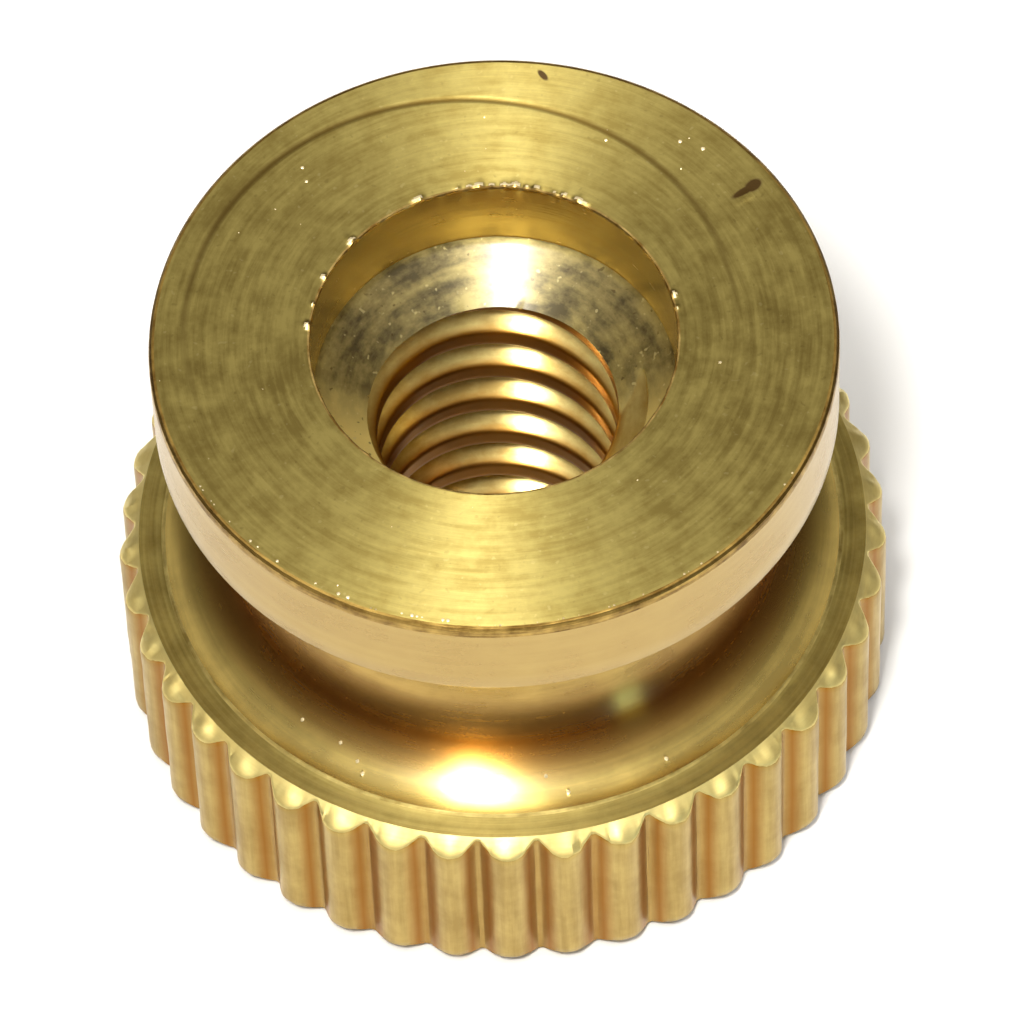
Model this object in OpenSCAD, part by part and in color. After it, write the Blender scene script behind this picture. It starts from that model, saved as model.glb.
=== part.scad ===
// Knurled nut, turned in one piece from brass bar and tapped through its middle.
// The wide head below has straight teeth for the fingers, a hollow neck stands on it, and a plain collar
// with a counterbored mouth closes the top. The origin is the middle of the underside, and +Z runs up the hole.

/* [Head] */
// Diameter over the crests of the teeth
head_d = 16.4; // [15.6:0.1:24]
// Height of the head, from the underside to its flat shoulder
head_h = 4.6; // [2:0.1:10]
// Bevel across the upper ends of the teeth, across
bevel_w = 0.45; // [0.1:0.05:0.6]
// Bevel across the upper ends of the teeth, down
bevel_h = 0.32; // [0.1:0.02:0.8]
// Radius that rounds the lower ends of the teeth
foot_round = 0.55; // [0.1:0.05:0.8]

/* [Knurl] */
// Number of teeth round the head
tooth_count = 41; // [24:1:60]
// Depth of the grooves between the teeth
groove_depth = 0.36; // [0.2:0.02:0.5]
// Width of a groove along its floor
groove_floor_w = 0.14; // [0.06:0.01:0.4]
// Angle between the two sides of a groove, in degrees
groove_angle = 85; // [50:5:90]
// How far the edges of a crest are eased, across
crest_ease_w = 0.18; // [0.05:0.01:0.25]
// How far the edges of a crest are eased, down
crest_ease_h = 0.1; // [0.02:0.01:0.16]

/* [Neck] */
// Diameter where the neck is narrowest
neck_d = 10.5; // [9.6:0.1:13]
// Height of the hollow between the shoulder and the collar's rim
neck_h = 4.9; // [4:0.1:8]

/* [Collar] */
// Diameter of the collar's plain rim
collar_d = 14.3; // [12.8:0.1:15.2]
// Height of the rim
collar_h = 2.2; // [1.2:0.1:5]
// Broken edge between the rim and the flat face
collar_break = 0.12; // [0.04:0.01:0.4]

/* [Hole] */
// Nominal diameter of the thread, a quarter of an inch
thread_d = 6.35; // [5.6:0.05:7]
// Pitch of the thread, twenty turns to the inch
thread_pitch = 1.27; // [0.8:0.01:1.6]
// Diameter of the counterbore in the collar's face
counterbore_d = 7.6; // [7.2:0.1:10]
// Depth of the counterbore's straight wall
counterbore_h = 1.8; // [0.5:0.1:4]
// Point angle of the drill that left the counterbore's sloping floor, in degrees
counterbore_angle = 118; // [90:1:140]
// Width of the lead-in round the thread at the underside
lead_in_w = 0.2; // [0.05:0.05:0.6]
// Angle across the lead-in at the underside, in degrees
lead_in_angle = 90; // [60:5:120]

/* [Hidden] */

$fn = 180;
brass = "#b3913f";

// How far the groove cutter runs past the metal
cut_over = 0.5;

// Radii from the axis outwards; the hole is drilled one pitch under the thread's size
hole_r = (thread_d - thread_pitch) / 2;
lead_in_r = thread_d / 2 + lead_in_w;
counterbore_r = counterbore_d / 2;
neck_r = neck_d / 2;
collar_r = collar_d / 2;
head_r = head_d / 2;
groove_floor_r = head_r - groove_depth;

// Heights from the underside upwards
lead_in_h = (lead_in_r - hole_r) / tan(lead_in_angle / 2);
shoulder_z = head_h;
rim_z = shoulder_z + neck_h;
face_z = rim_z + collar_h;
counterbore_z = face_z - counterbore_h;
thread_top_z = counterbore_z - (counterbore_r - hole_r) / tan(counterbore_angle / 2);

// The hollow is one arc through the shoulder, the neck's narrowest point and the rim
hollow_depth = collar_r - neck_r;
hollow_arc_r = (pow(neck_h / 2, 2) + pow(hollow_depth, 2)) / (2 * hollow_depth);
hollow_arc_x = neck_r + hollow_arc_r;
hollow_arc_z = shoulder_z + neck_h / 2;

// Turn from one tooth to the next
tooth_step = 360 / tooth_count;

// Half the width of a groove: along its floor, where the crests' eased edges begin, and past the crests
groove_floor_half = groove_floor_w / 2;
groove_ease_half = groove_floor_half + (groove_depth - crest_ease_h) * tan(groove_angle / 2);
groove_mouth_half = groove_ease_half + (crest_ease_h + cut_over) * crest_ease_w / crest_ease_h;

// Half section of the head: a disc with a bevelled upper corner and a rounded lower one
module head_section() {
    polygon([
        [0, 0],
        [head_r - foot_round, 0],
        [head_r - foot_round, foot_round],
        [head_r, foot_round],
        [head_r, head_h - bevel_h],
        [head_r - bevel_w, head_h],
        [0, head_h],
    ]);
    translate([head_r - foot_round, foot_round])
        circle(r = foot_round);
}

// Half section of the neck and the collar: one post with the round hollow taken out of its side
module post_section() {
    difference() {
        polygon([
            [0, 0],
            [collar_r, 0],
            [collar_r, face_z - collar_break],
            [collar_r - collar_break, face_z],
            [0, face_z],
        ]);
        translate([hollow_arc_x, hollow_arc_z])
            circle(r = hollow_arc_r);
    }
}

// Half section of the hole: lead-in below, tapping bore, sloping floor and straight counterbore
module hole_section() {
    polygon([
        [0, 0],
        [lead_in_r, 0],
        [hole_r, lead_in_h],
        [hole_r, thread_top_z],
        [counterbore_r, counterbore_z],
        [counterbore_r, face_z],
        [0, face_z],
    ]);
}

// The turned blank, before its head is knurled
module blank() {
    rotate_extrude()
        difference() {
            union() {
                head_section();
                post_section();
            }
            hole_section();
        }
}

// One groove of the knurl, standing along the head's side towards -Y
module groove() {
    translate([0, 0, -cut_over])
        linear_extrude(head_h + cut_over)
            polygon([
                [-groove_mouth_half, -head_r - cut_over],
                [groove_mouth_half, -head_r - cut_over],
                [groove_ease_half, -head_r + crest_ease_h],
                [groove_floor_half, -groove_floor_r],
                [-groove_floor_half, -groove_floor_r],
                [-groove_ease_half, -head_r + crest_ease_h],
            ]);
}

// The whole nut, with the crest of one tooth facing -Y
module knurled_nut() {
    color(brass)
        difference() {
            blank();
            for (i = [0 : tooth_count - 1])
                rotate([0, 0, (i + 1 / 2) * tooth_step])
                    groove();
        }
}

knurled_nut();
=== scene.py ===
# %% [markdown]
# A brass thumb nut. It was turned from bar in one piece: a knurled head for the fingers, a hollow neck, and
# a plain collar whose face has a counterbored, tapped hole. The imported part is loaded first, as a fixed
# frame, and everything that follows is built in that same frame, in metres, around the same axis.

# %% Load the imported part
import math

import bpy
import numpy as np
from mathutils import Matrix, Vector


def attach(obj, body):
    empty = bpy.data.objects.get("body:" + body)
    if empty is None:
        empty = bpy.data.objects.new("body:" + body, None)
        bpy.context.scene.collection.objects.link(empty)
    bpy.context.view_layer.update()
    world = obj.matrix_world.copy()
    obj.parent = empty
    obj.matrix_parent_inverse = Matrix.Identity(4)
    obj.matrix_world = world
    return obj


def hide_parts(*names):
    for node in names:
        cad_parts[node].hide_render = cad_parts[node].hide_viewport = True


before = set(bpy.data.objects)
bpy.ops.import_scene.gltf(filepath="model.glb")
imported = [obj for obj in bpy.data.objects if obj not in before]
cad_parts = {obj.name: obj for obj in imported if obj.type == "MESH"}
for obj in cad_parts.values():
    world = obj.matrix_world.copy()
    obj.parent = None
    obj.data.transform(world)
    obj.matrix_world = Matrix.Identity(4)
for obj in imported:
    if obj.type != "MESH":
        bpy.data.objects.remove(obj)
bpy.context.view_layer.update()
MM = 0.001
print("packed nodes:", sorted(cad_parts))

# %% [markdown]
# The camera comes first, because every later choice is judged through it. A long lens looks down on the nut
# from a little over 55 degrees, so circles stay almost parallel and the hole shows its back wall. The
# place, the aim and the small roll were measured from the ellipses of the collar, the hole and the ring of
# teeth.

# %% Camera
CAMERA_AT = (2.755, -106.625, 169.178)
CAMERA_AIM = (0.222, 0.005, 5.105)
CAMERA_ROLL = -2.480
FOCAL_IN_PIXELS = 9202
IMAGE_SIDE = 1024
SENSOR_W = 36.0

lens = bpy.data.cameras.new("product_lens")
lens.sensor_fit = "HORIZONTAL"
lens.sensor_width = SENSOR_W
lens.lens = SENSOR_W * FOCAL_IN_PIXELS / IMAGE_SIDE
lens.clip_start = 0.005
lens.clip_end = 5.0

camera = bpy.data.objects.new("product_camera", lens)
bpy.context.scene.collection.objects.link(camera)
camera.location = Vector(CAMERA_AT) * MM
look = Vector(CAMERA_AIM) - Vector(CAMERA_AT)
camera.rotation_euler = look.to_track_quat("-Z", "Y").to_euler()
camera.rotation_euler.rotate_axis("Z", math.radians(CAMERA_ROLL))
bpy.context.scene.camera = camera
bpy.context.scene.view_settings.view_transform = "Standard"
print("lens:", round(lens.lens, 1), "mm, distance", round(look.length, 1), "mm")

# %% [markdown]
# The sizes below repeat the part's own, in millimetres. The CAD solid has a plain bore, sharp corners and
# identical teeth. The piece made here adds what the lathe, the tap and the knurling wheel really leave: a
# cut thread, edges with a small radius, teeth that differ a little, and a few marks from use.

# %% Sizes in millimetres
HEAD_R = 8.2
HEAD_H = 4.6
BEVEL_W = 0.45
BEVEL_H = 0.32
FOOT_ROUND = 0.55
TEETH = 41
GROOVE_DEPTH = 0.35
GROOVE_FLOOR_HALF = 0.05
CREST_ROUND = 0.42
CREST_HALF_W = 0.31

NECK_R = 5.25
COLLAR_R = 7.15
RIM_Z = 9.5
FACE_Z = 11.7
COLLAR_BREAK = 0.12

THREAD_R = 3.175
PITCH = 1.27
BORE_R = 2.54
COUNTERBORE_R = 3.8
COUNTERBORE_Z = 9.9
DRILL_SLOPE = math.tan(math.radians(59))
LEAD_IN_R = 3.375

TURN = 2 * math.pi
rng = np.random.default_rng(41)
print("sizes: head", 2 * HEAD_R, "mm across, collar", 2 * COLLAR_R, "mm, face at", FACE_Z, "mm")

# %% [markdown]
# The nut is one closed skin made of rings of points around the axis. A ring is joined to the next one by a
# band of faces. The knurl needs many columns and the hole few, so a band may also join a ring to one with
# half or twice as many points. Going outwards under the head, up the outside, inwards over the face and
# down the hole keeps every face turned outwards, and the skin ends where it began.

# %% Rings and bands
points = []
faces = []
face_finish = []


def ring(angle, radius, height):
    """Adds one ring of points and returns their numbers."""
    first = len(points)
    radius, height = np.broadcast_to(radius, angle.shape), np.broadcast_to(height, angle.shape)
    points.extend(zip(radius * np.cos(angle), radius * np.sin(angle), height))
    return list(range(first, len(points)))


def band(before, after, finish):
    """Joins two rings with faces, also where one has twice the points of the other."""
    n, m = len(before), len(after)
    made = []
    if n == m:
        for i in range(n):
            j = (i + 1) % n
            made.append((before[i], before[j], after[j], after[i]))
    elif n == 2 * m:
        for i in range(m):
            a, b, c = before[2 * i], before[2 * i + 1], before[(2 * i + 2) % n]
            p, q = after[i], after[(i + 1) % m]
            made += [(a, b, p), (b, q, p), (b, c, q)]
    else:
        for i in range(n):
            a, b = before[i], before[(i + 1) % n]
            p, q, s = after[2 * i], after[2 * i + 1], after[(2 * i + 2) % m]
            made += [(a, q, p), (a, b, q), (b, s, q)]
    faces.extend(made)
    face_finish.extend([finish] * len(made))
    return after


def wander(angle, waves, size):
    """A smooth, repeatable drift around the axis: a few sine waves with seeded phases."""
    total = np.zeros_like(angle)
    for w in waves:
        total += np.sin(w * angle + rng.uniform(0, TURN)) / len(waves)
    return size * total


PER_TOOTH = np.array([0, 0.02, 0.04, 0.065, 0.12, 0.18, 0.225, 0.26, 0.32, 0.40])
tooth_u = np.concatenate([PER_TOOTH - 0.5, [0.0], 0.5 - PER_TOOTH[:0:-1]])
tooth_step = TURN / TEETH
HEAD_COLUMNS = TEETH * len(tooth_u)
collar_angle = -TURN / 4 - tooth_step / 2 + TURN * np.arange(HEAD_COLUMNS // 2) / (HEAD_COLUMNS // 2)
bore_angle = collar_angle[::2]
print("columns: head", HEAD_COLUMNS, "collar", len(collar_angle), "hole", len(bore_angle))

# %% [markdown]
# The thread is a real right-hand screw thread, twenty turns to the inch. Its rows of points follow the
# helix, so crests and roots come out as clean lines, and after one turn each row runs on into the row one
# pitch above. Where the sloping floor of the counterbore, or the lead-in at the bottom, is wider than the
# thread, the wider one wins. Rows past either end fall on the end ring, and faces that vanish there are
# left out.

# %% Thread
# Where a row falls closer than this to either end, it becomes part of the end ring
END_GAP = 0.01
# Heights below the counterbore between which the drill's floor meets the thread, and how finely to look
MEETS_BELOW = (0.9, 0.2)
MEETS_STEPS = 701
# Places along half a turn of the thread, as shares of the pitch from the middle of a crest
CREST_FLAT = 0.155
CREST_HALF = 0.185
FLANK_TOP = 0.215
FLANK_FOOT = 0.39
ROOT_HALF = 0.0787
ROOT_FLAT = 0.455
CREST_WEAR = 0.02
ROOT_EASE = 0.02
THREAD_START_Z = 10.187
CONE_TOP_Z = 9.82

half_rows = [0.0, 0.08, CREST_FLAT, CREST_HALF, FLANK_TOP, 0.26, 0.32, FLANK_FOOT]
half_rows += [0.5 - ROOT_HALF, ROOT_FLAT]
rows_per_turn = np.array(half_rows + [0.5] + [1 - v for v in half_rows[:0:-1]])
profile_at = [0, CREST_FLAT, CREST_HALF, FLANK_TOP, FLANK_FOOT, 0.5 - ROOT_HALF, ROOT_FLAT, 0.5]
flank = (THREAD_R - BORE_R) / (0.5 - ROOT_HALF - CREST_HALF)
flank_top_r = BORE_R + flank * (FLANK_TOP - CREST_HALF)
flank_foot_r = BORE_R + flank * (FLANK_FOOT - CREST_HALF)
profile_r = [BORE_R, BORE_R, BORE_R + CREST_WEAR, flank_top_r, flank_foot_r]
profile_r += [THREAD_R - ROOT_EASE, THREAD_R, THREAD_R]


def thread_r(turns):
    """Radius of the thread at so many turns below a crest."""
    part = np.abs((turns + 0.5) % 1.0 - 0.5)
    return np.interp(part, profile_at, profile_r)


def hole_r(turns, z):
    """Radius of the hole: the widest of thread, drill floor and lead-in."""
    drilled = COUNTERBORE_R - (COUNTERBORE_Z - z) * DRILL_SLOPE
    return np.maximum(thread_r(turns), np.maximum(drilled, LEAD_IN_R - z))


def thread_columns():
    """Builds the thread column by column; returns its top and bottom ring."""
    m = len(rows_per_turn)
    count = int(math.ceil((THREAD_START_Z + PITCH) / PITCH)) * m + 1
    at = np.array([k // m + rows_per_turn[k % m] for k in range(count)])
    rise = bore_angle % TURN
    order = np.argsort(rise)
    grid = np.zeros((len(bore_angle), count), int)
    top = ring(bore_angle, hole_r(np.full(len(rise), 0.0), CONE_TOP_Z), CONE_TOP_Z)
    foot = ring(bore_angle, LEAD_IN_R, 0.0)
    fine = np.linspace(COUNTERBORE_Z - MEETS_BELOW[0], COUNTERBORE_Z - MEETS_BELOW[1], MEETS_STEPS)
    for c in range(len(bore_angle)):
        lift = rise[c] / TURN
        z = THREAD_START_Z + PITCH * (lift - at)
        here = (THREAD_START_Z - fine) / PITCH + lift
        gap = thread_r(here) - (COUNTERBORE_R - (COUNTERBORE_Z - fine) * DRILL_SLOPE)
        for k in np.nonzero(np.diff(np.sign(gap)))[0]:
            near = int(np.argmin(np.abs(z - fine[k])))
            z[near] = fine[k]
        turns = (THREAD_START_Z - z) / PITCH + lift
        r = hole_r(turns, z)
        inside = (z < CONE_TOP_Z - END_GAP) & (z > END_GAP)
        grid[c] = np.where(z >= CONE_TOP_Z - END_GAP, top[c], foot[c])
        first = len(points)
        a = bore_angle[c]
        points.extend(zip(r[inside] * math.cos(a), r[inside] * math.sin(a), z[inside]))
        grid[c, inside] = np.arange(first, len(points))
    for n, c in enumerate(order):
        d = order[(n + 1) % len(order)]
        shift = m if n + 1 == len(order) else 0
        for k in range(count - 1 + shift):
            left = [grid[c, min(k, count - 1)], grid[c, min(k + 1, count - 1)]]
            right = [grid[d, max(k - shift, 0)], grid[d, max(k + 1 - shift, 0)]]
            quad = [left[0], right[0], right[1], left[1]]
            corners = [p for i, p in enumerate(quad) if p != quad[i - 1]]
            if len(set(corners)) > 2:
                faces.append(tuple(corners))
                face_finish.append("thread")
    return top, foot


thread_top, thread_foot = thread_columns()
print("thread:", round(COUNTERBORE_Z / PITCH, 1), "turns,", len(faces), "faces")

# %% [markdown]
# The head was rolled between knurling wheels, so the metal was pressed into grooves and stood up between
# them. Each column of the head knows its own radius, from the crest of a tooth to the floor of a groove.
# It starts on the rounded foot, climbs the wall, and runs in over the bevel. Because every column meets
# the bevel at its own height, the tongues at the top of the teeth come out with clean edges. The rolling
# also leaves the tongues slightly domed and ragged, and small seeded differences keep the teeth from
# being copies.

# %% Teeth and grooves
# How far the upper and the lower end of a tooth fall off to its sides, and how ragged its upper end is
TIP_DOME = 0.05
FOOT_DOME = 0.12
RAGGED = 0.02
# Offsets over which a tooth's outline is averaged, so that its corners are soft
SOFTEN = (-0.024, -0.012, 0.0, 0.012, 0.024)
groove_depth = GROOVE_DEPTH + rng.uniform(-0.035, 0.03, TEETH)
groove_shift = rng.uniform(-0.025, 0.025, TEETH)
tooth_wear = rng.uniform(0.0, 0.03, TEETH)
tip_drop = rng.uniform(-0.02, 0.04, TEETH)

head_angle = []
head_r = []
head_drop = []
head_side = []
pitch_mm = TURN * HEAD_R / TEETH
crest_drop = CREST_HALF_W ** 2 / (2 * CREST_ROUND)


def below_crest(sideways, deep):
    """How far a tooth's surface lies below its crest, so far to the side of the crest."""
    sideways = np.abs(sideways)
    sideways = np.minimum(sideways, pitch_mm - sideways)
    floor_at = pitch_mm / 2 - GROOVE_FLOOR_HALF
    down = np.clip((sideways - CREST_HALF_W) / (floor_at - CREST_HALF_W), 0, 1)
    side = crest_drop + (deep - crest_drop) * down
    return np.where(sideways < CREST_HALF_W, sideways ** 2 / (2 * CREST_ROUND), side)


for i in range(TEETH):
    nearest = np.where(tooth_u < 0, i, (i + 1) % TEETH)
    u = tooth_u + 0.5
    middle = 1 - (2 * tooth_u) ** 2
    shift = groove_shift[i] * (1 - u) + groove_shift[(i + 1) % TEETH] * u
    head_angle.append(-TURN / 4 + (i + tooth_u + shift) * tooth_step)
    from_crest = np.abs(tooth_u) * pitch_mm
    drop = np.mean([below_crest(from_crest + off, groove_depth[nearest]) for off in SOFTEN], axis=0)
    head_r.append(HEAD_R - drop - tooth_wear[i] * middle)
    side = np.minimum((from_crest / CREST_HALF_W) ** 2, 1.0)
    head_side.append(side)
    head_drop.append(BEVEL_H + tip_drop[i] * middle + TIP_DOME * side)
head_angle = np.concatenate(head_angle)
head_r = np.concatenate(head_r)
head_drop = np.concatenate(head_drop)
head_drop += rng.normal(0, RAGGED, len(head_drop))
head_side = np.concatenate(head_side)
print("grooves from", round(groove_depth.min(), 3), "to", round(groove_depth.max(), 3), "mm deep")

# %% [markdown]
# The underside is flat apart from the lead-in round the thread. The skin starts there and runs outwards to
# the foot of the teeth, where a quarter circle turns it upwards. Grooves cut into that quarter circle, so
# each column leaves it early, at the angle where its own radius is reached.

# %% Underside and rounded foot
# Radii of the rings between the lead-in and the foot
LEAD_IN_EDGE = LEAD_IN_R + 0.5
UNDERSIDE_R = 5.6
FOOT_STEPS = (1.0, 0.88, 0.7, 0.5, 0.3, 0.12, 0.0)
foot_r = HEAD_R - FOOT_ROUND
meets = np.arccos(np.clip((head_r - foot_r) / FOOT_ROUND, 0, 1))
wall_foot = FOOT_ROUND * (1 - np.sin(meets)) + FOOT_DOME * head_side

last = band(thread_foot, ring(collar_angle, LEAD_IN_EDGE, 0.0), "underside")
last = band(last, ring(head_angle, UNDERSIDE_R, 0.0), "underside")
last = band(last, ring(head_angle, foot_r - 0.2, 0.0), "underside")
# The rounded foot takes the dark filed finish of the collar's edge, as painted shade where the teeth meet
# the paper
for share in FOOT_STEPS:
    turn = meets + (TURN / 4 - meets) * share
    r = foot_r + FOOT_ROUND * np.cos(turn)
    z = FOOT_ROUND * (1 - np.sin(turn)) + FOOT_DOME * head_side * (1 - share)
    last = band(last, ring(head_angle, r, z), "edge" if share > 0.1 else "knurl")
print("underside: flat out to", round(foot_r, 2), "mm, teeth begin", round(wall_foot.min(), 2), "mm up")

# %% [markdown]
# The walls climb with a trace of ripple from the rolling, and a small radius leads them over the edge onto
# the bevel. Rolling also pushes metal up at the tip of every tooth. A low dome on each tongue stands for
# that: it is what gives the teeth at the sides their bright spots, and the tongues in front are worn
# flatter.

# %% Walls of the teeth and the bevel over them
EDGE_EASE = 0.06
RIPPLE = 0.004
# Shares of the wall and of the bevel at which their rings lie
WALL_STEPS = (0.04, 0.2, 0.4, 0.6, 0.8, 0.96)
BEVEL_STEPS = (0.2, 0.4, 0.6, 0.8, 1.0)
SHOULDER_MID_R = 7.5
# Distance from the axis, width, least and greatest height of the domes, shift sideways, and wear in front
LUMP_R = 8.0
LUMP_W = 0.15
LUMP_H = (0.06, 0.11)
LUMP_SHIFT = 0.08
LUMP_WORN = 0.7
tongue_r = HEAD_R - BEVEL_W
reach = np.clip((head_r - tongue_r) / BEVEL_W, 0, 1)
edge_z = HEAD_H - head_drop * reach
ease = np.minimum(EDGE_EASE, 0.3 * reach)
slope = np.hypot(BEVEL_W, head_drop)
wall_top = edge_z - ease
for share in WALL_STEPS:
    ripple = rng.normal(0, RIPPLE, len(head_angle))
    height = wall_foot + share * (wall_top - wall_foot)
    last = band(last, ring(head_angle, head_r + ripple, height), "knurl")
in_r = head_r - ease * BEVEL_W / slope
in_z = edge_z + ease * head_drop / slope
in_front = np.clip(-np.sin(head_angle), 0, 1) ** 2
lump_h = np.repeat(rng.uniform(*LUMP_H, TEETH), len(tooth_u)) * (1 - LUMP_WORN * in_front)
lump_shift = np.repeat(rng.uniform(-LUMP_SHIFT, LUMP_SHIFT, TEETH), len(tooth_u))
lump_aside = np.tile(tooth_u * pitch_mm, TEETH) - lump_shift


def lump(r):
    """The rolled-up metal on a tongue, as a low dome on the tip of its tooth."""
    return lump_h * np.exp(-((r - LUMP_R) ** 2 + lump_aside ** 2) / LUMP_W ** 2)


for t in (0.0, 0.5, 1.0):
    r = head_r * (1 - t * t) + in_r * t * t
    z = wall_top * (1 - t) ** 2 + edge_z * 2 * t * (1 - t) + in_z * t * t + lump(r) * t
    last = band(last, ring(head_angle, r, z), "bevel" if t > 0.5 else "knurl")
for share in BEVEL_STEPS:
    r = in_r + (tongue_r - in_r) * share
    last = band(last, ring(head_angle, r, in_z + (HEAD_H - in_z) * share + lump(r)), "bevel")
last = band(last, ring(head_angle, tongue_r - 0.05, HEAD_H), "shoulder")
last = band(last, ring(head_angle, SHOULDER_MID_R, HEAD_H), "shoulder")
print("head:", TEETH, "teeth,", len(points), "points so far")

# %% [markdown]
# The neck is one round hollow, formed by a radius tool, and it runs out into the flat shoulder below and
# the plain rim above. The arc is sampled directly, which keeps its reflections smooth. Where it meets the
# shoulder the two cuts have left a thin ridge, whose height drifts around the nut.

# %% Hollow neck and rim
HOLLOW_STEPS = 34
RIM_RINGS = (10.0, 10.6, 11.1, 11.45)
half_h = (RIM_Z - HEAD_H) / 2
sag = COLLAR_R - NECK_R
arc_r = (half_h ** 2 + sag ** 2) / (2 * sag)
arc_x = NECK_R + arc_r
arc_end = math.asin(half_h / arc_r)

# Distance from the hollow's end, height and finish of the ridge's three rings
RIDGE = ((0.12, 0.0, "shoulder"), (0.07, 0.028, "ridge"), (0.035, 0.028, "ridge"))
uneven = np.clip(0.6 + wander(collar_angle, (3, 7, 16), 0.9), 0.1, 1)
for off, lift, finish in RIDGE:
    last = band(last, ring(collar_angle, COLLAR_R + off, HEAD_H + lift * uneven), finish)
for step in np.linspace(-1, 1, HOLLOW_STEPS)[1:-1]:
    a = step * arc_end
    x = arc_x - arc_r * math.cos(a)
    last = band(last, ring(collar_angle, x, HEAD_H + half_h + arc_r * math.sin(a)), "hollow")
last = band(last, ring(collar_angle, COLLAR_R - 0.05, RIM_Z - 0.012), "hollow")
last = band(last, ring(collar_angle, COLLAR_R - 0.01, RIM_Z + 0.02), "rim")
last = band(last, ring(collar_angle, COLLAR_R, RIM_Z + 0.06), "rim")
for height in RIM_RINGS:
    last = band(last, ring(collar_angle, COLLAR_R, height), "rim")
print("hollow: arc of", round(arc_r, 2), "mm radius")

# %% [markdown]
# The face was turned flat, so it shows fine rings, and on top of them lies one ring scratch that isn't
# centred, left by a washer. Rings of points follow that scratch, so it is a real shallow groove. Near the
# edge someone has knocked a nick into the face, and grit has left pits. These are pressed into the rings of
# points, and torn beads of metal round the lip of the hole are raised from them.

# %% Marks on the face
SCRATCH_R = 5.72
SCRATCH_OFF = 0.787
SCRATCH_TOWARDS = math.radians(151.5)
SCRATCH_FACES = math.radians(100)
SCRATCH_HALF_W = 0.11
SCRATCH_DEEP = 0.022
# Middle, half length, half width, direction in degrees and depth of the nick and the pits
DENTS = ((5.29, 3.58, 0.34, 0.09, 33, 0.14), (5.46, 3.71, 0.22, 0.14, 40, 0.13),
         (1.11, 6.67, 0.16, 0.07, 125, 0.05))
NICK_RIDGE_H = 0.03
# Directions of the beads round the lip, in degrees
LIP_BEADS = (9.9, 15, 59.8, 62.2, 67, 70, 76, 79, 82.8, 86, 90, 94, 97, 100.8, 112.9, 114.7, 139.1, 154.9,
             165.5, 173.5)
LIP_R = COUNTERBORE_R + 0.06
BEAD_R = 0.075
BEAD_H = 0.05
# Share that spreads the sizes of the beads without repeating
GOLDEN = 0.618


def face_lift(x, y):
    """How far the face stands above its flat: below it in a dent, above it on a bead or beside the nick."""
    lift = np.zeros_like(x)
    for i, (cx, cy, half_long, half_wide, towards, deep) in enumerate(DENTS):
        a = math.radians(towards)
        along = ((x - cx) * math.cos(a) + (y - cy) * math.sin(a)) / half_long
        across = ((y - cy) * math.cos(a) - (x - cx) * math.sin(a)) / half_wide
        lift = lift - deep * np.clip(1.25 - np.hypot(along, across), 0, 1)
        if i == 0:
            beside = np.exp(-((across + 1.5) / 0.35) ** 2)
            lift = lift + NICK_RIDGE_H * np.clip(1.2 - np.abs(along), 0, 1) * beside
    for i, a in enumerate(np.radians(LIP_BEADS)):
        size = 0.6 + 0.7 * (i * GOLDEN % 1)
        away = np.hypot(x - (LIP_R + 0.02) * math.cos(a), y - (LIP_R + 0.02) * math.sin(a))
        lift = np.maximum(lift, BEAD_H * size * np.clip(1.3 - away / (BEAD_R * size), 0, 1))
    return lift


def face_ring(radius, height):
    """One ring of the face, with its dents and beads."""
    x, y = radius * np.cos(collar_angle), radius * np.sin(collar_angle)
    return band(last, ring(collar_angle, radius, height + face_lift(x, y)), "face")


print("marks:", len(DENTS), "dents,", len(LIP_BEADS), "beads and one ring scratch")

# %% [markdown]
# The collar's edge is a small quarter circle with a few burrs pushed out of it in front. The rings of the
# face then run inwards in three groups: in to the scratch, across it, and on to the lip. The third group is
# dense at the lip, where the beads are small. Faces that stand on a bead are marked as raw metal.

# %% Collar's edge and face
# Share of the columns that carry an edge burr, and its size
EDGE_BURR_SHARE = 0.16
EDGE_BURR_OUT = 0.05
n = len(collar_angle)
burr_out = np.where(rng.random(n) < EDGE_BURR_SHARE, rng.uniform(0, 1, n), 0)
burr_front = np.clip(np.cos(collar_angle + TURN / 4 + 0.2), 0, 1)
edge_burr = EDGE_BURR_OUT * burr_out * burr_front
for share in (0.0, 0.3, 0.7, 1.0):
    turn = share * TURN / 4
    r = COLLAR_R - COLLAR_BREAK * (1 - math.cos(turn))
    z = FACE_Z - COLLAR_BREAK * (1 - math.sin(turn))
    push = edge_burr * math.sin(2 * turn)
    last = band(last, ring(collar_angle, r + push * 0.4, z + push * 0.3), "edge")

away = collar_angle - SCRATCH_TOWARDS
scratch = SCRATCH_OFF * np.cos(away) + np.sqrt(SCRATCH_R ** 2 - (SCRATCH_OFF * np.sin(away)) ** 2)
depth = SCRATCH_DEEP * np.clip(0.15 + np.cos(collar_angle - SCRATCH_FACES), 0.1, 1.0)
outer = COLLAR_R - COLLAR_BREAK
first_quad = len(faces)
for share in np.linspace(0.03, 0.97, 15):
    last = face_ring(outer + (scratch + SCRATCH_HALF_W - outer) * share, FACE_Z)
for share, deep in ((1.0, 0.0), (0.7, 0.15), (0.3, 0.9), (-0.3, 0.9), (-0.7, 0.15), (-1.0, 0.0)):
    last = face_ring(scratch + SCRATCH_HALF_W * share, FACE_Z - depth * deep)
for share in np.linspace(0.1, 0.92, 7):
    inner = scratch - SCRATCH_HALF_W
    last = face_ring(inner + (LIP_R + 0.12 - scratch + SCRATCH_HALF_W) * share, FACE_Z)
for off in (0.13, 0.09, 0.05, 0.02, 0.0):
    last = face_ring(np.full(n, LIP_R + off), FACE_Z)
for i in range(first_quad, len(faces)):
    if np.mean([points[k][2] for k in faces[i]]) > FACE_Z + BEAD_H / 3:
        face_finish[i] = "burr"
print("face:", len(faces) - first_quad, "faces,", face_finish.count("burr"), "of them on beads")

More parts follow.
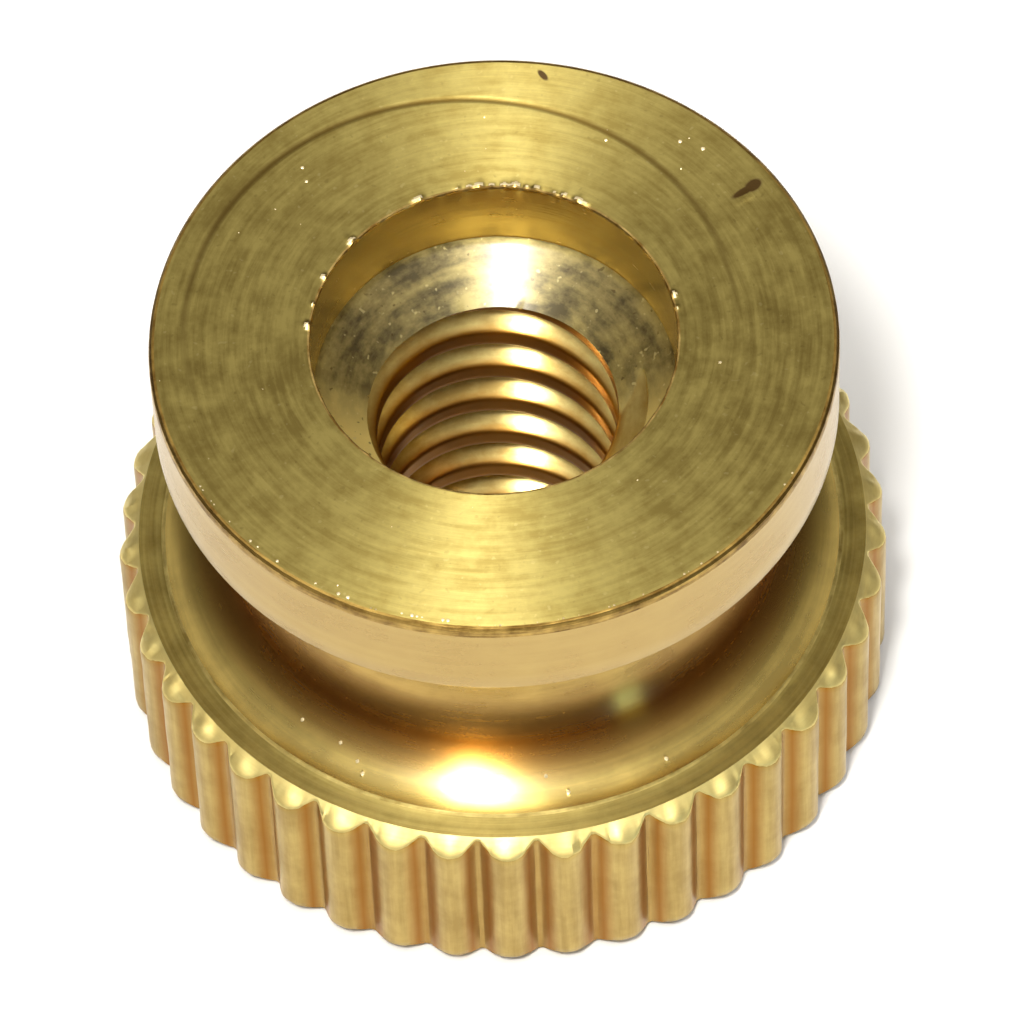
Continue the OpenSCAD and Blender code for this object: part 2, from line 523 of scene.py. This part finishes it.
# %% [markdown]
# Chips and handling raise tiny burrs. Seen by flash they are bright specks, so they are worth real points:
# each one takes the nearest face of the flat, cuts a small eight-sided hole in it and closes that with a
# low cone. Those that can be told apart in the photograph have their own place, along the front edge, round
# the lip of the hole and here and there between, and seeded ones fill in.

# %% Burrs
BURRS = ((3.98, 4.85), (4.42, 4.64), (2.35, 4.91), (4.70, -0.76), (3.82, -5.89), (4.17, -5.70),
         (2.36, -6.60), (-6.05, -3.44), (-5.01, -4.81), (-4.45, -5.36), (-3.19, -6.17), (-3.05, -6.22),
         (-2.59, -6.52), (-2.48, -6.56), (-3.88, 4.30), (-3.95, 4.12))
# Direction in degrees and height of those in the hollow of the neck
HOLLOW_BURRS = ((238.1, 4.86), (242.4, 4.81), (243.7, 4.68), (281.2, 4.71), (299.2, 4.67), (277.6, 4.91),
                (228.8, 4.85))
BURR_H = 0.03
# Number, distance from the axis and shares of a face's width of the seeded ones, along the edge and between
EDGE_BURRS = 34
EDGE_BURR_R = 6.97
EDGE_BURR_SIZES = (0.4, 0.95)
FACE_BURRS = 16
FACE_BURR_R = (4.1, 6.8)
FACE_BURR_SIZES = (0.3, 0.6)


def raise_burr(number, share, height):
    """Replaces one four-cornered face by a frame and a low cone, as wide as so much of its short side."""
    corners = np.array([points[k] for k in faces[number]])
    middle = corners.mean(axis=0)
    sides = np.roll(corners, -1, axis=0) - corners
    size = share * np.linalg.norm(sides, axis=1).min() / 2
    outer = list(faces[number])
    first = len(points)
    for i in range(4):
        for spot in (corners[i], (corners[i] + corners[(i + 1) % 4]) / 2):
            out = spot - middle
            points.append(tuple(middle + out / np.linalg.norm(out) * size))
    across = np.cross(corners[2] - corners[0], corners[3] - corners[1])
    points.append(tuple(middle + across / np.linalg.norm(across) * height))
    eight = [first + i for i in range(8)]
    made = []
    for i in range(4):
        a, b, c = eight[2 * i], eight[2 * i + 1], eight[(2 * i + 2) % 8]
        made.append((outer[i], outer[(i + 1) % 4], c, b, a))
    cone = [(eight[i], eight[(i + 1) % 8], first + 8) for i in range(8)]
    faces[number] = made[0]
    faces.extend(made[1:] + cone)
    face_finish.extend([face_finish[number]] * 3 + ["burr"] * 8)


edge_turn = -TURN / 4 + rng.normal(0, 0.55, EDGE_BURRS)
face_turn = rng.uniform(0, TURN, FACE_BURRS)
places = [(x, y, FACE_Z, 0.98) for x, y in BURRS]
for turn, height in HOLLOW_BURRS:
    a = math.radians(turn)
    r = arc_x - math.sqrt(arc_r ** 2 - (height - HEAD_H - half_h) ** 2)
    places.append((r * math.cos(a), r * math.sin(a), height, 0.9))
for a, share in zip(edge_turn, rng.uniform(*EDGE_BURR_SIZES, EDGE_BURRS)):
    places.append((EDGE_BURR_R * math.cos(a), EDGE_BURR_R * math.sin(a), FACE_Z, share))
face_r = rng.uniform(*FACE_BURR_R, FACE_BURRS)
for a, r, share in zip(face_turn, face_r, rng.uniform(*FACE_BURR_SIZES, FACE_BURRS)):
    places.append((r * math.cos(a), r * math.sin(a), FACE_Z, share))
open_faces = [i for i, f in enumerate(faces) if face_finish[i] in ("face", "hollow") and len(f) == 4]
middles = np.array([np.mean([points[k] for k in faces[i]], axis=0) for i in open_faces])
taken = set()
for x, y, z, share in places:
    pick = int(np.argmin(np.linalg.norm(middles - (x, y, z), axis=1)))
    if pick not in taken:
        taken.add(pick)
        raise_burr(open_faces[pick], share, BURR_H * share)
print("burrs:", len(taken))

# %% [markdown]
# The lip of the counterbore was left sharp, so it is a narrow band with a ragged edge. Below it the wall
# drops straight, a small radius stands for the drill's worn corner, and the sloping floor runs on to the
# top ring of the thread. With that band the skin is closed.

# %% Lip, counterbore and drilled floor
# Share of the columns with a tear in the lip, and its size
LIP_TEARS = 0.2
LIP_TEAR_OUT = 0.04
WALL_RINGS = (11.6, 11.2, 10.7, 10.2, COUNTERBORE_Z + 0.1)
lip_burr = np.where(rng.random(n) < LIP_TEARS, rng.uniform(0.2, 1, n), 0) * LIP_TEAR_OUT
lip_burr = (np.roll(lip_burr, 1) + 2 * lip_burr + np.roll(lip_burr, -1)) / 4
lip_x, lip_y = LIP_R * np.cos(collar_angle), LIP_R * np.sin(collar_angle)
lip_z = FACE_Z - 0.006 + lip_burr * 0.4 + 0.6 * face_lift(lip_x, lip_y)
last = band(last, ring(collar_angle, COUNTERBORE_R + 0.02 + lip_burr * 0.3, lip_z), "lip")
last = band(last, ring(collar_angle, COUNTERBORE_R - lip_burr * 0.6, FACE_Z - 0.04), "lip")
for height in WALL_RINGS:
    last = band(last, ring(collar_angle, COUNTERBORE_R, height), "counterbore")
last = band(last, ring(collar_angle, COUNTERBORE_R - 0.004, COUNTERBORE_Z + 0.03), "counterbore")
last = band(last, ring(collar_angle, COUNTERBORE_R - 0.03, COUNTERBORE_Z - 0.012), "thread")
last = band(last, thread_top, "thread")
print("skin closed:", len(points), "points,", len(faces), "faces")

# %% [markdown]
# All brass here is the same metal. What differs from place to place is the tool that cut it, so each finish
# is its own material, built by one function from the same few facts: the colour of the metal, the colour of
# its tarnish, how rough the tool left it, and how wide and deep its marks are. The marks run around the
# axis, so the pattern is noise that changes quickly along the section and slowly around the nut. Some
# finishes also carry painted shade or painted light, said where they are made.

# %% Colours and nodes


def linear(hex_colour):
    """An sRGB hex colour as linear RGBA."""
    parts = [int(hex_colour[i:i + 2], 16) / 255 for i in (1, 3, 5)]
    return [p / 12.92 if p <= 0.04045 else ((p + 0.055) / 1.055) ** 2.4 for p in parts] + [1.0]


def add(tree, kind, inputs=None, **settings):
    """Adds one node, sets its properties, and fills or links its sockets."""
    made = tree.nodes.new(kind)
    for name, value in settings.items():
        setattr(made, name, value)
    for name, value in (inputs or {}).items():
        if isinstance(value, bpy.types.NodeSocket):
            tree.links.new(value, made.inputs[name])
        else:
            made.inputs[name].default_value = value
    return made


print("middle grey in linear light:", round(linear("#808080")[0], 3))

# %% [markdown]
# One function makes every finish. Position in millimetres is split into distance from the axis, height and
# direction, and four-dimensional noise of these gives tool marks that close on themselves all the way
# round. A second noise gives the blotches of tarnish, and a third, very fine one, the specks and pits.
# Turned metal throws highlights across its tool marks, which is what the shader's anisotropy is for.

# %% Brass as the tools leave it
MEAN_R = 7.0
SPECK_MM = 0.16
# Noise below and above which metal is bright or tarnished, and how much its roughness varies
TARNISH_FROM = 0.8
TARNISH_FULL = 1.2
GLOSS_BEST = 0.85
GLOSS_WORST = 1.2
FILM_ROUGH = 0.25
# A quarter turn of the shader's tangent draws highlights out along the section
ALONG_SECTION = 0.25
# The drilled floor: how far off it the thread begins, between which places from front to back it goes from
# painted light to tarnished, and the least and greatest share of that tarnish. The bright front half is
# painted light, so that the wall above mirrors a brighter floor.
FLOOR_EDGE = (0.04, 0.02)
FLOOR_PAINTED_BRIGHT = (-0.8, 0.6)
FLOOR_TARNISH = (0.5, 0.92)
PALE_SPECK = "#efe3a8"
DARK_PIT = "#4a3414"
# Painted shade: brown in the ring scratch, darkest towards the back, and dark in the nick and the pits
SCRATCH_SHADE = "#6c5420"
DENT_SHADE = "#4c3610"


def cut_brass(name, bright, tarnish, rough, marks, blotch_mm, stain, stretch=0.0, film=0.0, fleck=0.0,
              grooves=None, cone=None, metal=1.0):
    """Brass with tool marks (size across, size around and depth, in mm), blotches of tarnish and specks.

    Grooves gives a band of painted shade (its radius, half its width, its colour), and cone the drilled
    floor above the thread (bright colour, tarnish, roughness, film), which alone has the specks. The floor's
    bright front half is painted light.
    """
    across_mm, around_mm, deep_mm = marks
    material = bpy.data.materials.new(name)
    material.use_nodes = True
    tree = material.node_tree
    shader = tree.nodes["Principled BSDF"]
    where = add(tree, "ShaderNodeTexCoord")
    mm = add(tree, "ShaderNodeVectorMath", {0: where.outputs["Object"], "Scale": 1 / MM}, operation="SCALE")
    flat = add(tree, "ShaderNodeVectorMath", {0: mm.outputs[0], 1: (1, 1, 0)}, operation="MULTIPLY")
    radius = add(tree, "ShaderNodeVectorMath", {0: flat.outputs[0]}, operation="LENGTH")
    towards = add(tree, "ShaderNodeVectorMath", {0: flat.outputs[0]}, operation="NORMALIZE")
    turned = add(tree, "ShaderNodeVectorMath", {0: towards.outputs[0], "Scale": MEAN_R / around_mm},
                 operation="SCALE")
    way = add(tree, "ShaderNodeSeparateXYZ", {0: turned.outputs[0]})
    up = add(tree, "ShaderNodeSeparateXYZ", {0: mm.outputs[0]})
    section = add(tree, "ShaderNodeCombineXYZ", {0: radius.outputs["Value"], 1: up.outputs[2]})
    fine = add(tree, "ShaderNodeVectorMath",
               {0: section.outputs[0], "Scale": 1 / across_mm}, operation="SCALE")
    spin = add(tree, "ShaderNodeCombineXYZ", {2: way.outputs[0]})
    both = add(tree, "ShaderNodeVectorMath", {0: fine.outputs[0], 1: spin.outputs[0]}, operation="ADD")
    rings = add(tree, "ShaderNodeTexNoise",
                {"Vector": both.outputs[0], "W": way.outputs[1],
                 "Scale": 1.0, "Detail": 4.0, "Roughness": 0.6},
                noise_dimensions="4D")
    blotch = add(tree, "ShaderNodeTexNoise",
                 {"Vector": mm.outputs[0], "Scale": 1 / blotch_mm, "Detail": 5.0, "Roughness": 0.65})
    sum_up = add(tree, "ShaderNodeMath",
                 {0: blotch.outputs["Fac"], 1: rings.outputs["Fac"]}, operation="ADD")
    share = add(tree, "ShaderNodeMapRange",
                {"Value": sum_up.outputs[0], "From Min": TARNISH_FROM, "From Max": TARNISH_FULL,
                 "To Min": 0.0, "To Max": stain})
    colour = add(tree, "ShaderNodeMix",
                 {0: share.outputs[0], 6: linear(bright), 7: linear(tarnish)}, data_type="RGBA")
    gloss = add(tree, "ShaderNodeMapRange",
                {"Value": sum_up.outputs[0], "From Min": 0.7, "From Max": 1.3,
                 "To Min": rough * GLOSS_BEST, "To Max": rough * GLOSS_WORST})
    shader.inputs["Metallic"].default_value = metal
    shader.inputs["Anisotropic"].default_value = stretch
    shader.inputs["Anisotropic Rotation"].default_value = ALONG_SECTION
    shader.inputs["Coat Weight"].default_value = film
    shader.inputs["Coat Roughness"].default_value = FILM_ROUGH
    fleck_share = fleck
    # Painted shade: a band darker by distance from the axis, used on the sides of the knurl's grooves,
    # halfway into the hollow and along the thread's crests
    if grooves:
        shaded_r, half_w, shade_tone = grooves
        beside = add(tree, "ShaderNodeMath", {0: radius.outputs["Value"], 1: shaded_r}, operation="SUBTRACT")
        away = add(tree, "ShaderNodeMath", {0: beside.outputs[0]}, operation="ABSOLUTE")
        deep = add(tree, "ShaderNodeMapRange",
                   {"Value": away.outputs[0], "From Min": half_w, "From Max": 0.0})
        colour = add(tree, "ShaderNodeMix",
                     {0: deep.outputs[0], 6: colour.outputs[2], 7: linear(shade_tone)}, data_type="RGBA")
    if cone:
        cone_bright, cone_tarnish, cone_rough, cone_film = cone
        cone_r = add(tree, "ShaderNodeMath",
                     {0: up.outputs[2], 1: DRILL_SLOPE, 2: COUNTERBORE_R - COUNTERBORE_Z * DRILL_SLOPE},
                     operation="MULTIPLY_ADD")
        off = add(tree, "ShaderNodeMath",
                  {0: radius.outputs["Value"], 1: cone_r.outputs[0]}, operation="SUBTRACT")
        on = add(tree, "ShaderNodeMapRange",
                 {"Value": off.outputs[0], "From Min": FLOOR_EDGE[0], "From Max": FLOOR_EDGE[1]})
        even = add(tree, "ShaderNodeMapRange",
                   {"Value": share.outputs[0], "From Max": stain,
                    "To Min": FLOOR_TARNISH[0], "To Max": FLOOR_TARNISH[1]})
        # Painted light: the front half of the floor is kept free of tarnish, so that the wall above mirrors
        # it brighter
        painted_bright_front = add(tree, "ShaderNodeMapRange",
                     {"Value": up.outputs[1], "From Min": FLOOR_PAINTED_BRIGHT[0], "From Max": FLOOR_PAINTED_BRIGHT[1]})
        left = add(tree, "ShaderNodeMath", {0: even.outputs[0], 1: painted_bright_front.outputs[0]}, operation="MULTIPLY")
        drilled = add(tree, "ShaderNodeMix",
                      {0: left.outputs[0], 6: linear(cone_bright), 7: linear(cone_tarnish)},
                      data_type="RGBA")
        colour = add(tree, "ShaderNodeMix",
                     {0: on.outputs[0], 6: colour.outputs[2], 7: drilled.outputs[2]}, data_type="RGBA")
        gloss = add(tree, "ShaderNodeMapRange",
                    {"Value": on.outputs[0], "To Min": rough, "To Max": cone_rough})
        oil = add(tree, "ShaderNodeMapRange", {"Value": on.outputs[0], "To Min": film, "To Max": cone_film})
        on_cone = add(tree, "ShaderNodeMapRange", {"Value": on.outputs[0], "To Max": fleck})
        fleck_share = on_cone.outputs[0]
        tree.links.new(oil.outputs[0], shader.inputs["Coat Weight"])
    if fleck:
        speck = add(tree, "ShaderNodeTexNoise",
                    {"Vector": mm.outputs[0], "Scale": 1 / SPECK_MM, "Detail": 1.0})
        for low, high, tone in ((0.70, 0.76, PALE_SPECK), (0.30, 0.24, DARK_PIT)):
            spot = add(tree, "ShaderNodeMapRange",
                       {"Value": speck.outputs["Fac"], "From Min": low, "From Max": high,
                        "To Max": fleck_share})
            colour = add(tree, "ShaderNodeMix",
                         {0: spot.outputs[0], 6: colour.outputs[2], 7: linear(tone)}, data_type="RGBA")
    if deep_mm:
        bump = add(tree, "ShaderNodeBump",
                   {"Height": rings.outputs["Fac"], "Distance": deep_mm * MM, "Strength": 1.0})
        tree.links.new(bump.outputs[0], shader.inputs["Normal"])
    if stretch:
        around = add(tree, "ShaderNodeTangent", direction_type="RADIAL", axis="Z")
        tree.links.new(around.outputs[0], shader.inputs["Tangent"])
    tree.links.new(colour.outputs[2], shader.inputs["Base Color"])
    tree.links.new(gloss.outputs[0], shader.inputs["Roughness"])
    return material


print("specks: noise of", SPECK_MM, "mm")

# %% [markdown]
# The scratch and the dents of the face are shapes already. This adds painted shade to them in the face's
# finish, softly, from the same sizes that pressed the shapes: brown along the scratch, most towards the
# back, and a dark, less metallic colour in the dents.

# %% Painted shade in the marks


def shade_face_marks(material):
    """Paints shade into the ring scratch and the dents of the face."""
    tree = material.node_tree
    shader = tree.nodes["Principled BSDF"]
    colour = shader.inputs["Base Color"].links[0].from_socket
    where = add(tree, "ShaderNodeTexCoord")
    mm = add(tree, "ShaderNodeVectorMath",
             {0: where.outputs["Object"], 1: (1 / MM, 1 / MM, 0)}, operation="MULTIPLY")
    centre = (SCRATCH_OFF * math.cos(SCRATCH_TOWARDS), SCRATCH_OFF * math.sin(SCRATCH_TOWARDS), 0)
    out = add(tree, "ShaderNodeVectorMath", {0: mm.outputs[0], 1: centre}, operation="DISTANCE")
    off = add(tree, "ShaderNodeMath", {0: out.outputs["Value"], 1: SCRATCH_R}, operation="SUBTRACT")
    gap = add(tree, "ShaderNodeMath", {0: off.outputs[0]}, operation="ABSOLUTE")
    side = (math.cos(SCRATCH_FACES) / COLLAR_R, math.sin(SCRATCH_FACES) / COLLAR_R, 0)
    ahead = add(tree, "ShaderNodeVectorMath", {0: mm.outputs[0], 1: side}, operation="DOT_PRODUCT")
    fade = add(tree, "ShaderNodeMapRange",
               {"Value": ahead.outputs["Value"], "From Min": -0.2, "From Max": 0.6, "To Max": 0.8})
    line = add(tree, "ShaderNodeMapRange",
               {"Value": gap.outputs[0], "From Min": SCRATCH_HALF_W, "From Max": 0.02,
                "To Max": fade.outputs[0]})
    scratch_shaded = add(tree, "ShaderNodeMix",
                  {0: line.outputs[0], 6: colour, 7: linear(SCRATCH_SHADE)}, data_type="RGBA")
    dent_shade = 0.0
    for x, y, half_long, half_wide, towards, _ in DENTS:
        local = add(tree, "ShaderNodeVectorMath", {0: mm.outputs[0], 1: (x, y, 0)}, operation="SUBTRACT")
        turned = add(tree, "ShaderNodeVectorRotate",
                     {"Vector": local.outputs[0], "Angle": -math.radians(towards)}, rotation_type="Z_AXIS")
        shaped = add(tree, "ShaderNodeVectorMath",
                     {0: turned.outputs[0], 1: (1 / half_long, 1 / half_wide, 0)}, operation="MULTIPLY")
        reach = add(tree, "ShaderNodeVectorMath", {0: shaped.outputs[0]}, operation="LENGTH")
        inside = add(tree, "ShaderNodeMapRange",
                     {"Value": reach.outputs["Value"], "From Min": 1.2, "From Max": 0.8})
        dent_shade = add(tree, "ShaderNodeMath", {0: inside.outputs[0], 1: dent_shade}, operation="MAXIMUM").outputs[0]
    marks_shaded = add(tree, "ShaderNodeMix",
                {0: dent_shade, 6: scratch_shaded.outputs[2], 7: linear(DENT_SHADE)}, data_type="RGBA")
    metal = add(tree, "ShaderNodeMapRange", {"Value": dent_shade, "To Min": 1.0, "To Max": 0.6})
    tree.links.new(marks_shaded.outputs[2], shader.inputs["Base Color"])
    tree.links.new(metal.outputs[0], shader.inputs["Metallic"])


print("dirt: scratch", SCRATCH_SHADE, "and dents", DENT_SHADE)

# %% [markdown]
# Thirteen finishes follow, from the outside in. The colours are sRGB, bright metal first and tarnish
# second. After them stand roughness, the size of the marks, the size of the blotches and how much tarnish
# there is, all in millimetres or shares, and where needed how far highlights are drawn out, a film of oil,
# and specks.

# %% Finishes of the outside
BRASS = "#d6b870"
OLIVE = "#8a7840"
finishes = {}

# Parted off and stood on: a flat sawn look with coarse rings, dull from handling.
finishes["underside"] = cut_brass("parted_brass", BRASS, OLIVE, 0.42, (0.12, 7, 0.02), 2.0, 0.5)

# Rolled by the knurling wheels: burnished along the teeth, with painted shade on the sides of the grooves.
finishes["knurl"] = cut_brass("rolled_brass", "#b69e5c", "#8c7036", 0.36, (2.5, 0.12, 0.002), 1.0, 0.6,
                              grooves=(7.95, 0.17, "#946210"))

# Bevelled with a tool before knurling: smooth tongues that flash pale yellow.
finishes["bevel"] = cut_brass("bevelled_brass", "#ecdc94", "#d0b870", 0.54, (0.1, 5, 0.003), 0.6, 0.4,
                              film=0.3)

# Faced with the side of the tool: fine rings, olive with tarnish, and a glare that runs across the rings.
finishes["shoulder"] = cut_brass("shoulder_brass", "#b8a866", "#80703a", 0.46, (0.1, 7, 0.004), 0.9, 0.7,
                                 stretch=0.65)

# Pushed up where the two cuts meet: a thin uneven ridge, rubbed bright in places.
finishes["ridge"] = cut_brass("rubbed_brass", "#d8c882", OLIVE, 0.46, (0.1, 2, 0.003), 0.6, 0.9,
                              stretch=0.65)

# Formed by a round-nosed tool and nearly polished: reflections drawn out across its marks, white where the
# flash shows, and a band of painted shade halfway in.
finishes["hollow"] = cut_brass("formed_brass", "#ceb668", "#8c7a3c", 0.25, (0.2, 7, 0), 1.6, 0.5,
                               stretch=0.85, film=0.5, grooves=(5.9, 0.8, "#a4661a"))

# Turned last and rubbed by fingers: a satin band that takes the paper's tone.
finishes["rim"] = cut_brass("burnished_brass", "#b49a5e", "#a48752", 0.25, (0.25, 7, 0.003), 1.5, 0.5)

# Broken with a file: a dull brown line with bright burrs in it. The rounded foot of the teeth takes this
# dark finish too, as painted shade where the teeth meet the paper.
finishes["edge"] = cut_brass("filed_brass_and_foot_shade", "#c0a058", "#684c20", 0.40, (0.1, 2, 0.01), 0.4, 0.9)
print("finishes of the outside:", len(finishes))

# %% [markdown]
# The face and the hole are the same metal again, but no finger polishes them, so tarnish, oil and the marks
# of the drill and the tap stay. The thread and the drilled floor share one material, because the tap cut
# into the floor along a line that no band of faces follows: the material finds that line from the slope of
# the floor.

# %% Finishes of the face and the hole
# Faced flat and left to tarnish: mottled olive and straw, with a streak of glare towards the light.
finishes["face"] = cut_brass("faced_brass", "#c4b46c", "#8c783a", 0.46, (0.15, 2.4, 0.006), 0.6, 0.7,
                             stretch=0.78, film=0.12, fleck=0.2)
# Painted shade in the ring scratch and in the nick and the pits
shade_face_marks(finishes["face"])

# Torn up as a burr: raw, bright metal in points too fine to mirror anything, so it shines from every side.
finishes["burr"] = cut_brass("raw_brass", "#f6e6bc", "#e4cc94", 0.45, (0.2, 2, 0), 0.4, 0.4,
                             film=0.5, metal=0.6)

# Turned lip of the counterbore: a bright, slightly ragged line.
finishes["lip"] = cut_brass("lip_brass", "#d8bc78", "#7a5820", 0.36, (0.1, 1.0, 0.008), 0.3, 0.9)

# Bored: a smooth wall that mirrors the floor in amber. Its colours are painted light, paler than the brass
# anywhere else, so that what it mirrors comes out brighter.
finishes["counterbore"] = cut_brass("bored_brass_painted_light", "#ffe69a", "#ecca78", 0.24, (0.14, 7, 0.004), 1.0, 0.5)

# Cut by the tap: bright flanks with faint tearing, and painted shade along the crests. The drilled floor
# above is mottled grey-green at the back, and a film of cutting oil whitens the glare there. Its front half
# is painted light: kept free of tarnish, so that the wall above mirrors a brighter floor.
finishes["thread"] = cut_brass("tapped_brass", "#e6d48c", "#b8924a", 0.3, (0.3, 2, 0.004), 0.7, 0.7,
                               stretch=0.8, fleck=0.6, grooves=(2.54, 0.18, "#a8742a"),
                               cone=("#fcea9c", "#382c12", 0.55, 1.0))
print("finishes:", sorted(m.name for m in finishes.values()))

# %% [markdown]
# Now the points become one mesh. Faces take the finish of their band. Smooth shading with area-weighted
# normals keeps the flats flat and lets the narrow corner bands turn the light, as a real broken edge does.

# %% The nut
SHARP_ABOVE = 31
mesh = bpy.data.meshes.new("thumb_nut")
mesh.from_pydata([(x * MM, y * MM, z * MM) for x, y, z in points], [], faces)
names = list(finishes)
for name in names:
    mesh.materials.append(finishes[name])
mesh.polygons.foreach_set("material_index", [names.index(f) for f in face_finish])
mesh.polygons.foreach_set("use_smooth", [True] * len(faces))
mesh.validate()
mesh.update()
mesh.set_sharp_from_angle(angle=math.radians(SHARP_ABOVE))
nut = bpy.data.objects.new("thumb_nut", mesh)
bpy.context.scene.collection.objects.link(nut)
weighted = nut.modifiers.new("weighted_normals", "WEIGHTED_NORMAL")
weighted.mode = "FACE_AREA"
weighted.weight = 80
weighted.keep_sharp = True
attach(nut, "root")
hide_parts("knurled_nut")
print("nut:", sum(len(f) - 2 for f in faces), "triangles")

# %% [markdown]
# The nut stands on white paper. Metal shows its surroundings, so the paper is a real disc that the rim and
# the teeth can mirror. It is matt, and its edge lies outside the camera's picture.

# %% Paper
PAPER_R = 0.045
PAPER_WHITE = "#e6e6e6"
paper_mesh = bpy.data.meshes.new("paper")
paper_ring = [(PAPER_R * math.cos(a), PAPER_R * math.sin(a), 0.0) for a in np.linspace(0, TURN, 97)[:-1]]
paper_mesh.from_pydata(paper_ring, [], [tuple(range(len(paper_ring)))])
paper = bpy.data.objects.new("paper", paper_mesh)
bpy.context.scene.collection.objects.link(paper)

white = bpy.data.materials.new("white_paper")
white.use_nodes = True
tree = white.node_tree
tree.nodes.clear()
matt = add(tree, "ShaderNodeBsdfDiffuse", {"Color": linear(PAPER_WHITE)})
add(tree, "ShaderNodeOutputMaterial", {"Surface": matt.outputs[0]})
paper_mesh.materials.append(white)
print("paper:", round(2 * PAPER_R / MM), "mm across")

# %% [markdown]
# The room around the nut is dim. Its tones change with height only: the paler upper room gives the face its
# olive, and the dark lower room gives the hollow its browns. To the camera alone the room is white, like
# the paper.

# %% Room
# Height of a tone, from level at 0 to overhead at 1, and the tone
ROOM_STEPS = ((0.0, "#38281a"), (0.40, "#4c3e2a"), (0.62, "#7c7360"), (0.80, "#e0d9c8"), (0.96, "#ebe5d6"))
room = bpy.data.worlds.new("dim_room")
bpy.context.scene.world = room
room.use_nodes = True
tree = room.node_tree
tree.nodes.clear()
where = add(tree, "ShaderNodeTexCoord")
axes = add(tree, "ShaderNodeSeparateXYZ", {0: where.outputs["Generated"]})
shade = add(tree, "ShaderNodeValToRGB", {"Fac": axes.outputs[2]})
steps = shade.color_ramp.elements
steps[0].position, steps[0].color = ROOM_STEPS[0][0], linear(ROOM_STEPS[0][1])
steps[1].position, steps[1].color = ROOM_STEPS[-1][0], linear(ROOM_STEPS[-1][1])
for place, tone in ROOM_STEPS[1:-1]:
    steps.new(place).color = linear(tone)
rays = add(tree, "ShaderNodeLightPath")
choose = add(tree, "ShaderNodeMix",
             {0: rays.outputs["Is Camera Ray"], 6: shade.outputs[0], 7: linear("#ffffff")},
             data_type="RGBA")
light = add(tree, "ShaderNodeBackground", {"Color": choose.outputs[2], "Strength": 1.0})
add(tree, "ShaderNodeOutputWorld", {"Surface": light.outputs[0]})
print("room:", len(steps), "tones from the floor to the ceiling")

# %% [markdown]
# A flash beside the lens makes the glare in the hollow and in the hole. A long tube behind it and a wide
# patch of ceiling draw the glare out over the face. A small window low on the right leaves one cool spot in
# the hollow. Two soft lamps at the sides only whiten the paper, so the metal doesn't mirror them.

# %% Lamps
# Direction and height in degrees, distance and width in metres, watts, colour, and a pane's second side
LAMPS = {
    "flash": (256, 64, 0.20, 0.03, 0.33, "#fffcf6"),
    "ceiling": (254, 78, 0.30, 0.26, 0.16, "#fffaf0"),
    "tube": (257, 66, 0.30, 0.03, 0.32, "#fffdf6", 0.28),
    "window": (311, 8, 0.30, 0.045, 0.038, "#b0ecff", 0.07),
}
# Direction and watts of the lamps for the paper, and what they share
PAPER_LAMPS = {"paper_light_left": (185, 0.35), "paper_light_right": (10, 0.95)}
PAPER_LAMP_HEIGHT = 45
PAPER_LAMP_AWAY = 0.5
PAPER_LAMP_W = 0.4
PAPER_LAMP_COLOUR = "#eef3ff"
LAMPS_AIM = Vector((0, 0, 0.008))


def lamp(name, azimuth, elevation, distance, size, watts, colour, tall=None):
    """A soft lamp that looks at the nut from the given side: a disc, or a pane where it has a height."""
    data = bpy.data.lights.new(name, "AREA")
    data.shape = "RECTANGLE" if tall else "DISK"
    data.size = size
    if tall:
        data.size_y = tall
    data.energy = watts
    data.color = linear(colour)[:3]
    made = bpy.data.objects.new(name, data)
    bpy.context.scene.collection.objects.link(made)
    a, e = math.radians(azimuth), math.radians(elevation)
    out = Vector((math.cos(a) * math.cos(e), math.sin(a) * math.cos(e), math.sin(e)))
    made.location = out * distance + LAMPS_AIM
    made.rotation_euler = (-out).to_track_quat("-Z", "Y").to_euler()
    return made


for name, setting in LAMPS.items():
    lamp(name, *setting)
for name, (side, watts) in PAPER_LAMPS.items():
    soft = lamp(name, side, PAPER_LAMP_HEIGHT, PAPER_LAMP_AWAY, PAPER_LAMP_W, watts, PAPER_LAMP_COLOUR)
    soft.visible_glossy = False
